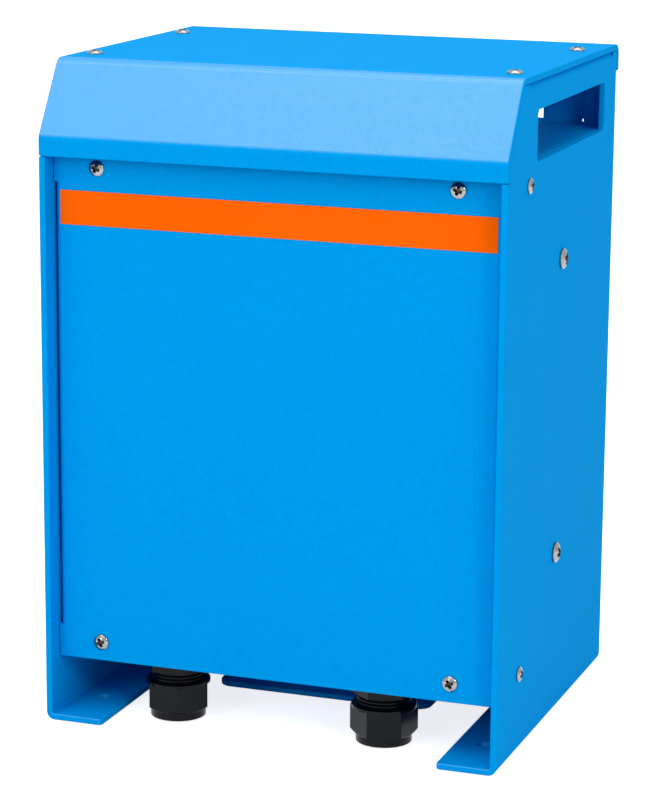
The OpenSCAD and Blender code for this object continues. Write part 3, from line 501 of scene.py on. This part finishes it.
def soften(node, width, segments=2, corner=30):
    """A detailed copy of a node with its sharp edges rounded by width."""
    bm = clean_copy(node)
    sharp = [e for e in bm.edges if len(e.link_faces) == 2 and e.calc_face_angle(0) > math.radians(corner)]
    bmesh.ops.bevel(bm, geom=sharp, offset=width, offset_type="OFFSET", segments=segments, profile=0.5,
                    affect="EDGES", clamp_overlap=False, miter_outer="SHARP", miter_inner="SHARP")
    # where short edges meet, a bevel can leave the solid's skin: such points go back onto it
    plain = nodes[node].data
    skin = BVHTree.FromPolygons([v.co for v in plain.vertices], [tuple(f.vertices) for f in plain.polygons])
    for v in bm.verts:
        near, _, _, away = skin.find_nearest(v.co)
        if away > width * OFF_SKIN:
            v.co = near
    obj = stand_in(node, node + "_soft", bm, smooth=40)
    even = obj.modifiers.new("even", "WEIGHTED_NORMAL")
    even.keep_sharp = True
    return obj


def lathe(bm, profile, steps, put=Matrix.Identity(4)):
    """Turns a profile of (radius, height) points round Z; a radius of zero closes the end."""
    turn = [2 * math.pi * i / steps for i in range(steps)]
    rings = []
    for r, z in profile:
        ways = turn if r else turn[:1]
        rings.append([bm.verts.new(put @ Vector((r * math.cos(t), r * math.sin(t), z))) for t in ways])
    for a, b in zip(rings, rings[1:]):
        for i in range(steps):
            j = (i + 1) % steps
            quad = [a[i % len(a)], b[i % len(b)], b[j % len(b)], a[j % len(a)]]
            bm.faces.new(list(dict.fromkeys(quad)))


def outward(place, way, spin=0.0):
    """A matrix that stands +Z along way at a place."""
    turn = Vector(way).to_track_quat("Z", "Y").to_matrix().to_4x4()
    return Matrix.Translation(place) @ turn @ Matrix.Rotation(spin, 4, "Z")


def tapered_bar(long_top, long_low, wide_top, wide_low, top, low):
    """A bar that narrows downwards: one arm pair of a cross recess. Sizes are half widths."""
    bm = bmesh.new()
    rings = []
    for a, b, z in ((long_low, wide_low, low), (long_top, wide_top, top)):
        rings.append([bm.verts.new((x * a, y * b, z)) for x, y in ((-1, -1), (1, -1), (1, 1), (-1, 1))])
    for i in range(4):
        j = (i + 1) % 4
        bm.faces.new([rings[0][i], rings[0][j], rings[1][j], rings[1][i]])
    bm.faces.new(rings[0][::-1])
    bm.faces.new(rings[1])
    return bm


def baked(bm, *cutters):
    """The mesh after the cutters' shapes are taken away from it."""
    def temporary(b):
        mesh = bpy.data.meshes.new("temporary")
        b.to_mesh(mesh)
        b.free()
        obj = bpy.data.objects.new("temporary", mesh)
        bpy.context.scene.collection.objects.link(obj)
        return obj
    body = temporary(bm)
    tools = [temporary(c) for c in cutters]
    for t in tools:
        cut = body.modifiers.new("cut", "BOOLEAN")
        cut.operation, cut.solver, cut.object = "DIFFERENCE", "EXACT", t
    bpy.context.view_layer.update()
    mesh = bpy.data.meshes.new_from_object(body.evaluated_get(bpy.context.evaluated_depsgraph_get()))
    for o in [body] + tools:
        bpy.data.objects.remove(o)
    # the cuts can leave faces without an area
    bm = bmesh.new()
    bm.from_mesh(mesh)
    bmesh.ops.dissolve_degenerate(bm, dist=SAME_PLACE, edges=bm.edges)
    bm.to_mesh(mesh)
    bm.free()
    return mesh


def screw_mesh(head_r, length, rim, head_h, shank_r, wing):
    """A pan head screw along +Z with a cross recess; its head stands on Z zero."""
    edge = HEAD_EDGE
    rise = head_h - rim
    ball = (head_r ** 2 + rise ** 2) / (2 * rise)
    tilt = math.asin(head_r / ball)

    def skin(r):
        return head_h - ball * (1 - math.sqrt(max(0, 1 - (r / ball) ** 2)))

    dome = [ball * math.sin(tilt * k / HEAD_ROWS) for k in range(HEAD_ROWS)]
    profile = [(r, skin(r)) for r in dome]
    profile += [(head_r - edge, rim + edge * 0.8), (head_r - edge * 0.3, rim), (head_r, rim - edge * 1.5)]
    profile += [(head_r, edge), (head_r - edge, 0), (shank_r, 0)]
    profile += [(shank_r, edge - length), (shank_r - edge, -length), (0, -length)]
    bm = bmesh.new()
    lathe(bm, profile, HEAD_STEPS)
    bmesh.ops.recalc_face_normals(bm, faces=bm.faces)
    reach, low, above = head_r * CROSS_REACH, head_h * CROSS_FLOOR, head_h * CROSS_ABOVE
    arms = []
    for quarter in (0, 1):
        arm = tapered_bar(reach * CROSS_LONG_TOP, reach * CROSS_LONG_LOW, wing * CROSS_WIDE_TOP,
                          wing * CROSS_WIDE_LOW, above, low)
        turn = Matrix.Rotation(quarter * math.pi / 2, 3, "Z")
        bmesh.ops.rotate(arm, verts=arm.verts, cent=(0, 0, 0), matrix=turn)
        bmesh.ops.recalc_face_normals(arm, faces=arm.faces)
        arms.append(arm)
    mesh = baked(bm, *arms)
    # the faces inside the recess get a near-black metal: painted shade in the recess
    for f in mesh.polygons:
        r = math.hypot(f.center.x, f.center.y)
        if r < reach * IN_REACH and low * IN_FLOOR < f.center.z < skin(r) - IN_SKIN:
            f.material_index = 1
    return mesh


def screw_piece(node, way, head):
    """Screws with a real cross recess in place of a node's plain ones. Their heads point along way or,
    where there is none, to the side that each is on."""
    bm = bmesh.new()
    mesh = None
    for i, (low, high) in enumerate(solids(node)):
        middle, size = (low + high) / 2, high - low
        out = Vector(way) if way else Vector((math.copysign(1, middle.x), 0, 0))
        long = abs(size.dot(out))
        if mesh is None:
            head_r = max(c for c, o in zip(size, out) if not o) / 2
            mesh = screw_mesh(head_r, long - head["head_h"], **head)
        start = len(bm.verts)
        bm.from_mesh(mesh)
        bm.verts.ensure_lookup_table()
        put = outward(middle + out * (long / 2 - head["head_h"]), out, FIRST_CROSS + NEXT_CROSS * i)
        for v in bm.verts[start:]:
            v.co = put @ v.co
    obj = stand_in(node, node + "_cross", bm, smooth=28)
    # the second material is the painted shade on the recess faces
    obj.data.materials.append(recess_painted_shade)


screw_piece("hood_screws", (0, 0, 1), M4)
screw_piece("front_cover_screws", (0, -1, 0), M4)
screw_piece("side_panel_screws", None, M4)
screw_piece("support_plate_screws", None, M6)
screw_piece("rear_panel_screws", (0, 1, 0), M4)
screw_piece("board_screws", (0, -1, 0), M3)
screw_piece("terminal_mount_screws", (0, -1, 0), M3)

slanted = [f for f in nodes["hood"].data.polygons if -f.normal.y > ASLANT and f.normal.z > ASLANT]
SLOPE = max(slanted, key=lambda f: f.area).normal.copy()

soften("rear_panel", REAR_EDGE, 3)
for n in ("deck", "bottom_plate", "front_cover", "transformer_support_plate"):
    soften(n, SHEET_EDGE, 3)
# the feet's edges shine where they face the way of the hood's slanted face
base_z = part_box("bottom_plate")[0].z
for n in ("left_side_panel", "right_side_panel"):
    wall = soften(n, WALL_EDGE, 3)
    wall.data.materials.append(bend_coat)
    for f in wall.data.polygons:
        if f.center.z < base_z and f.normal.dot(SLOPE) > ON_FOOT_EDGE:
            f.material_index = 1

plain_parts = (
    (GLAND_NUT_EDGE, 3, ("left_gland_nut", "right_gland_nut")),
    (GLAND_THREAD_EDGE, 2, ("left_gland_body", "right_gland_body")),
    (LOCKNUT_EDGE, 2, ("gland_locknuts",)),
    (PART_EDGE, 2, ("clamping_dish", "front_rubber_pad", "rear_rubber_pad", "transformer_bolt",
                    "transformer_nut", "board_relays", "board_connector", "board_resistor",
                    "board_capacitors")),
    (RUBBER_EDGE, 2, ("lead_grommets", "gland_gaskets", "left_gland_seal", "right_gland_seal")),
    (SMALL_EDGE, 2, ("clinch_nuts_m4", "clinch_nuts_m6", "terminal_screws", "earth_stud", "earth_nuts",
                     "earth_lug", "board_standoffs", "soft_start_board")),
)
for width, segments, names in plain_parts:
    for n in names:
        soften(n, width, segments)
for n in ("input_terminal_block", "output_terminal_block"):
    dress(soften(n, RUBBER_EDGE), block_plastic)


def hood_piece():
    """The hood, with its glossier coats on the slanted face and the bends beside it."""
    hood = soften("hood", HOOD_EDGE, 3)
    for coat in (fade_coat, slant_coat, bend_coat, crest_coat):
        hood.data.materials.append(coat)
    fade, slant, bend, crest = range(1, 5)
    for f in hood.data.polygons:
        along = f.normal.dot(SLOPE)
        if along < ON_ANY:
            continue
        if along > ON_SLANT:
            f.material_index = slant
        elif f.normal.z > SLOPE.z:
            f.material_index = crest if along > ON_CREST else bend
        elif along > ON_BEND:
            f.material_index = bend
        elif along > ON_FADE:
            f.material_index = fade


hood_piece()


def rounded(points, radius, steps=6):
    """The points of a path with each turn rounded."""
    out = [points[0]]
    for a, b, c in zip(points, points[1:], points[2:]):
        u, v = (a - b).normalized(), (c - b).normalized()
        half = u.angle(v) / 2
        cut = min(radius / math.tan(half), (a - b).length * BEND_SHARE, (c - b).length * BEND_SHARE)
        p, q = b + u * cut, b + v * cut
        for k in range(steps + 1):
            t = k / steps
            out.append(p * (1 - t) ** 2 + b * 2 * t * (1 - t) + q * t ** 2)
    out.append(points[-1])
    return out


def tube(bm, path, radius, sides=16):
    """A round wire along a path, closed at both ends."""
    ways = [(b - a).normalized() for a, b in zip(path, path[1:])]
    ways.append(ways[-1])
    side = ways[0].orthogonal().normalized()
    turn = [2 * math.pi * k / sides for k in range(sides)]
    rings = []
    for i, (p, w) in enumerate(zip(path, ways)):
        mean = (ways[max(i - 1, 0)] + w).normalized()
        side = (side - mean * side.dot(mean)).normalized()
        other = mean.cross(side)
        rings.append([bm.verts.new(p + (side * math.cos(t) + other * math.sin(t)) * radius) for t in turn])
    for a, b in zip(rings, rings[1:]):
        for k in range(sides):
            j = (k + 1) % sides
            bm.faces.new([a[k], a[j], b[j], b[k]])
    bm.faces.new(rings[0][::-1])
    bm.faces.new(rings[-1])
    bmesh.ops.recalc_face_normals(bm, faces=bm.faces)


def lead_route(k, hole, end):
    """Points of lead k of a pair: out along the winding's radius, through the hole of its grommet, and
    across to its block's end."""
    arm = Vector((hole.x, 0, hole.z - RING_MIDDLE.z)).normalized()
    off = (k - 0.5) * LEAD_PITCH * math.copysign(1, -hole.x)
    across = Vector((-arm.z * off, 0, arm.x * off))
    start = Vector((0, ring_low.y + LEAD_IN, RING_MIDDLE.z)) + across
    z = hole.z + across.z
    turn = k * LEAD_PITCH - LEAD_TURN
    return [start + arm * (RING_R + LEAD_START), start + arm * (RING_R + LEAD_OUT),
            Vector((hole.x + across.x, ring_low.y, z)), Vector((hole.x + across.x, turn, z)),
            Vector((end, turn, z))]


def lead_pieces(node, grommet, end):
    """The brown and the blue lead of a pair, through the hole of a grommet to a block's end at X end."""
    hole = (grommet[0] + grommet[1]) / 2
    for k, (name, mat) in enumerate((("brown", made["wire_brown"]), ("blue", blue_wire))):
        bm = bmesh.new()
        tube(bm, rounded(lead_route(k, hole, end), LEAD_BEND), LEAD_R)
        stand_in(node, node + "_" + name, bm, smooth=50, mat=mat)


left_grommet, right_grommet = solids("lead_grommets")
lead_pieces("input_leads", left_grommet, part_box("input_terminal_block")[0].x)
lead_pieces("output_leads", right_grommet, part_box("output_terminal_block")[1].x)


def winding_piece():
    """The ring of the winding with its overlapping tape wraps."""
    hole_r = min(math.hypot(v.co.x, v.co.z - RING_MIDDLE.z) for v in nodes["toroid_winding"].data.vertices)
    outer, inner = RING_R - RING_ROUND, hole_r + RING_ROUND
    front, rear = ring_low.y + RING_ROUND, ring_high.y - RING_ROUND
    section = []
    for r, y, start in ((outer, front, -90), (outer, rear, 0), (inner, rear, 90), (inner, front, 180)):
        for k in range(ROUND_PARTS + 1):
            t = math.radians(start + 90 * k / ROUND_PARTS)
            section.append((r, y, math.cos(t), math.sin(t)))
    bm = bmesh.new()
    rings = []
    for i in range(WRAPS * WRAP_PARTS):
        a = 2 * math.pi * i / (WRAPS * WRAP_PARTS)
        wrap, part = divmod(i, WRAP_PARTS)
        sink = WRAP_STEP * (1 - part / (WRAP_PARTS - 1)) * (1 + WRAP_UNEVEN * math.sin(wrap * WRAP_BEAT))
        ring = []
        for cr, cy, nr, ny in section:
            r, y = cr + nr * (RING_ROUND - sink), cy + ny * (RING_ROUND - sink)
            ring.append(bm.verts.new((r * math.cos(a), y, RING_MIDDLE.z + r * math.sin(a))))
        rings.append(ring)
    n = len(section)
    for a, b in zip(rings, rings[1:] + rings[:1]):
        for k in range(n):
            j = (k + 1) % n
            bm.faces.new([a[k], a[j], b[j], b[k]])
    bmesh.ops.recalc_face_normals(bm, faces=bm.faces)
    stand_in("toroid_winding", "winding_tape_wraps", bm, smooth=24)


winding_piece()


def solder_joints():
    """Small solder domes at the feet of the parts on the board."""
    spots = []
    for low, high in solids("board_relays"):
        z = (low.z + high.z) / 2
        for x in (low.x - RELAY_PIN_OUT, high.x + RELAY_PIN_OUT):
            spots += [(x, z + s * RELAY_PIN_SIDE) for s in (-1, 1)]
    for low, high in solids("board_capacitors"):
        x = (low.x + high.x) / 2
        spots += [(x + s * CAN_PIN_SIDE, low.z - PIN_GAP) for s in (-1, 1)]
    low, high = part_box("board_connector")
    for k in range(PLUG_PINS):
        spots.append(((low.x + high.x) / 2 + (k - (PLUG_PINS - 1) / 2) * PLUG_PIN_PITCH, high.z + PIN_GAP))
    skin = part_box("soft_start_board")[0].y
    bm = bmesh.new()
    for x, z in spots:
        lathe(bm, SOLDER, SOLDER_STEPS, outward((x, skin, z), (0, -1, 0)))
    add_piece("board_solder_joints", bm, body_of["soft_start_board"], made["plated_steel"],
              smooth=50)


solder_joints()


# Surroundings
def seen_directly(tree):
    """One for camera, glossy and transmission rays, and zero for the rest."""
    path = tree.nodes.new("ShaderNodeLightPath")
    total = path.outputs["Is Camera Ray"]
    for kind in ("Is Glossy Ray", "Is Transmission Ray"):
        either = tree.nodes.new("ShaderNodeMath")
        either.operation = "MAXIMUM"
        tree.links.new(total, either.inputs[0])
        tree.links.new(path.outputs[kind], either.inputs[1])
        total = either.outputs[0]
    return total


def backdrop(name, color, glow):
    """A pale surface that shows white to the camera and keeps the shadows that fall on it."""
    mat = bpy.data.materials.new(name)
    mat.use_nodes = True
    tree = mat.node_tree
    tree.nodes.clear()
    plain = tree.nodes.new("ShaderNodeBsdfDiffuse")
    plain.inputs["Color"].default_value = (color, color, color, 1)
    level = tree.nodes.new("ShaderNodeMath")
    level.operation = "MULTIPLY"
    level.inputs[1].default_value = glow
    tree.links.new(seen_directly(tree), level.inputs[0])
    light = tree.nodes.new("ShaderNodeEmission")
    tree.links.new(level.outputs[0], light.inputs["Strength"])
    both = tree.nodes.new("ShaderNodeAddShader")
    tree.links.new(plain.outputs[0], both.inputs[0])
    tree.links.new(light.outputs[0], both.inputs[1])
    out = tree.nodes.new("ShaderNodeOutputMaterial")
    tree.links.new(both.outputs[0], out.inputs["Surface"])
    return mat


def make_floor(half_width=6.0, drop=0.4 * MM):
    """A pale floor just below the feet."""
    bm = bmesh.new()
    bmesh.ops.create_grid(bm, x_segments=1, y_segments=1, size=half_width)
    mesh = bpy.data.meshes.new("floor")
    bm.to_mesh(mesh)
    bm.free()
    floor = bpy.data.objects.new("floor", mesh)
    bpy.context.scene.collection.objects.link(floor)
    floor.location.z = -drop
    dress(floor, backdrop("pale_floor", color=0.85, glow=0.80))


def make_world(soft=0.52, white=1.0):
    """Soft white light all round, and a full white for what the camera and the reflections see."""
    world = bpy.data.worlds.new("studio")
    bpy.context.scene.world = world
    world.use_nodes = True
    tree = world.node_tree
    tree.nodes.clear()
    mix = tree.nodes.new("ShaderNodeMixShader")
    tree.links.new(seen_directly(tree), mix.inputs["Fac"])
    for i, strength in ((1, soft), (2, white)):
        light = tree.nodes.new("ShaderNodeBackground")
        light.inputs["Color"].default_value = (1, 1, 1, 1)
        light.inputs["Strength"].default_value = strength
        tree.links.new(light.outputs[0], mix.inputs[i])
    out = tree.nodes.new("ShaderNodeOutputWorld")
    tree.links.new(mix.outputs[0], out.inputs["Surface"])


def lamp(name, place, size, power, at=(0, 0, 0.18)):
    """An area lamp of a size in metres and a power in watts, turned towards a place on the object."""
    data = bpy.data.lights.new(name, "AREA")
    data.shape = "RECTANGLE"
    data.size, data.size_y = size
    data.energy = power
    obj = bpy.data.objects.new(name, data)
    bpy.context.scene.collection.objects.link(obj)
    way = Vector(at) - Vector(place)
    obj.matrix_world = Matrix.Translation(place) @ way.to_track_quat("-Z", "Y").to_matrix().to_4x4()


make_floor()
make_world()
lamp("upper_left", place=(-0.60, -1.00, 2.05), size=(1.3, 0.8), power=9.7, at=(0, -0.1, 0.34))
lamp("top", place=(0.1, 0.3, 2.2), size=(1.5, 1.5), power=16, at=(0, 0, 0.36))
lamp("right", place=(2.2, -0.6, 0.9), size=(1.2, 1.6), power=4.2)
lamp("front_right", place=(1.55, -1.35, 1.00), size=(0.45, 0.45), power=7.6)
lamp("front_left", place=(-0.78, -2.04, 0.90), size=(0.45, 0.45), power=5.8)
lamp("high_front", place=(-0.1, -1.65, 1.75), size=(1.8, 0.9), power=4.6)

bpy.context.scene.view_settings.view_transform = "Standard"
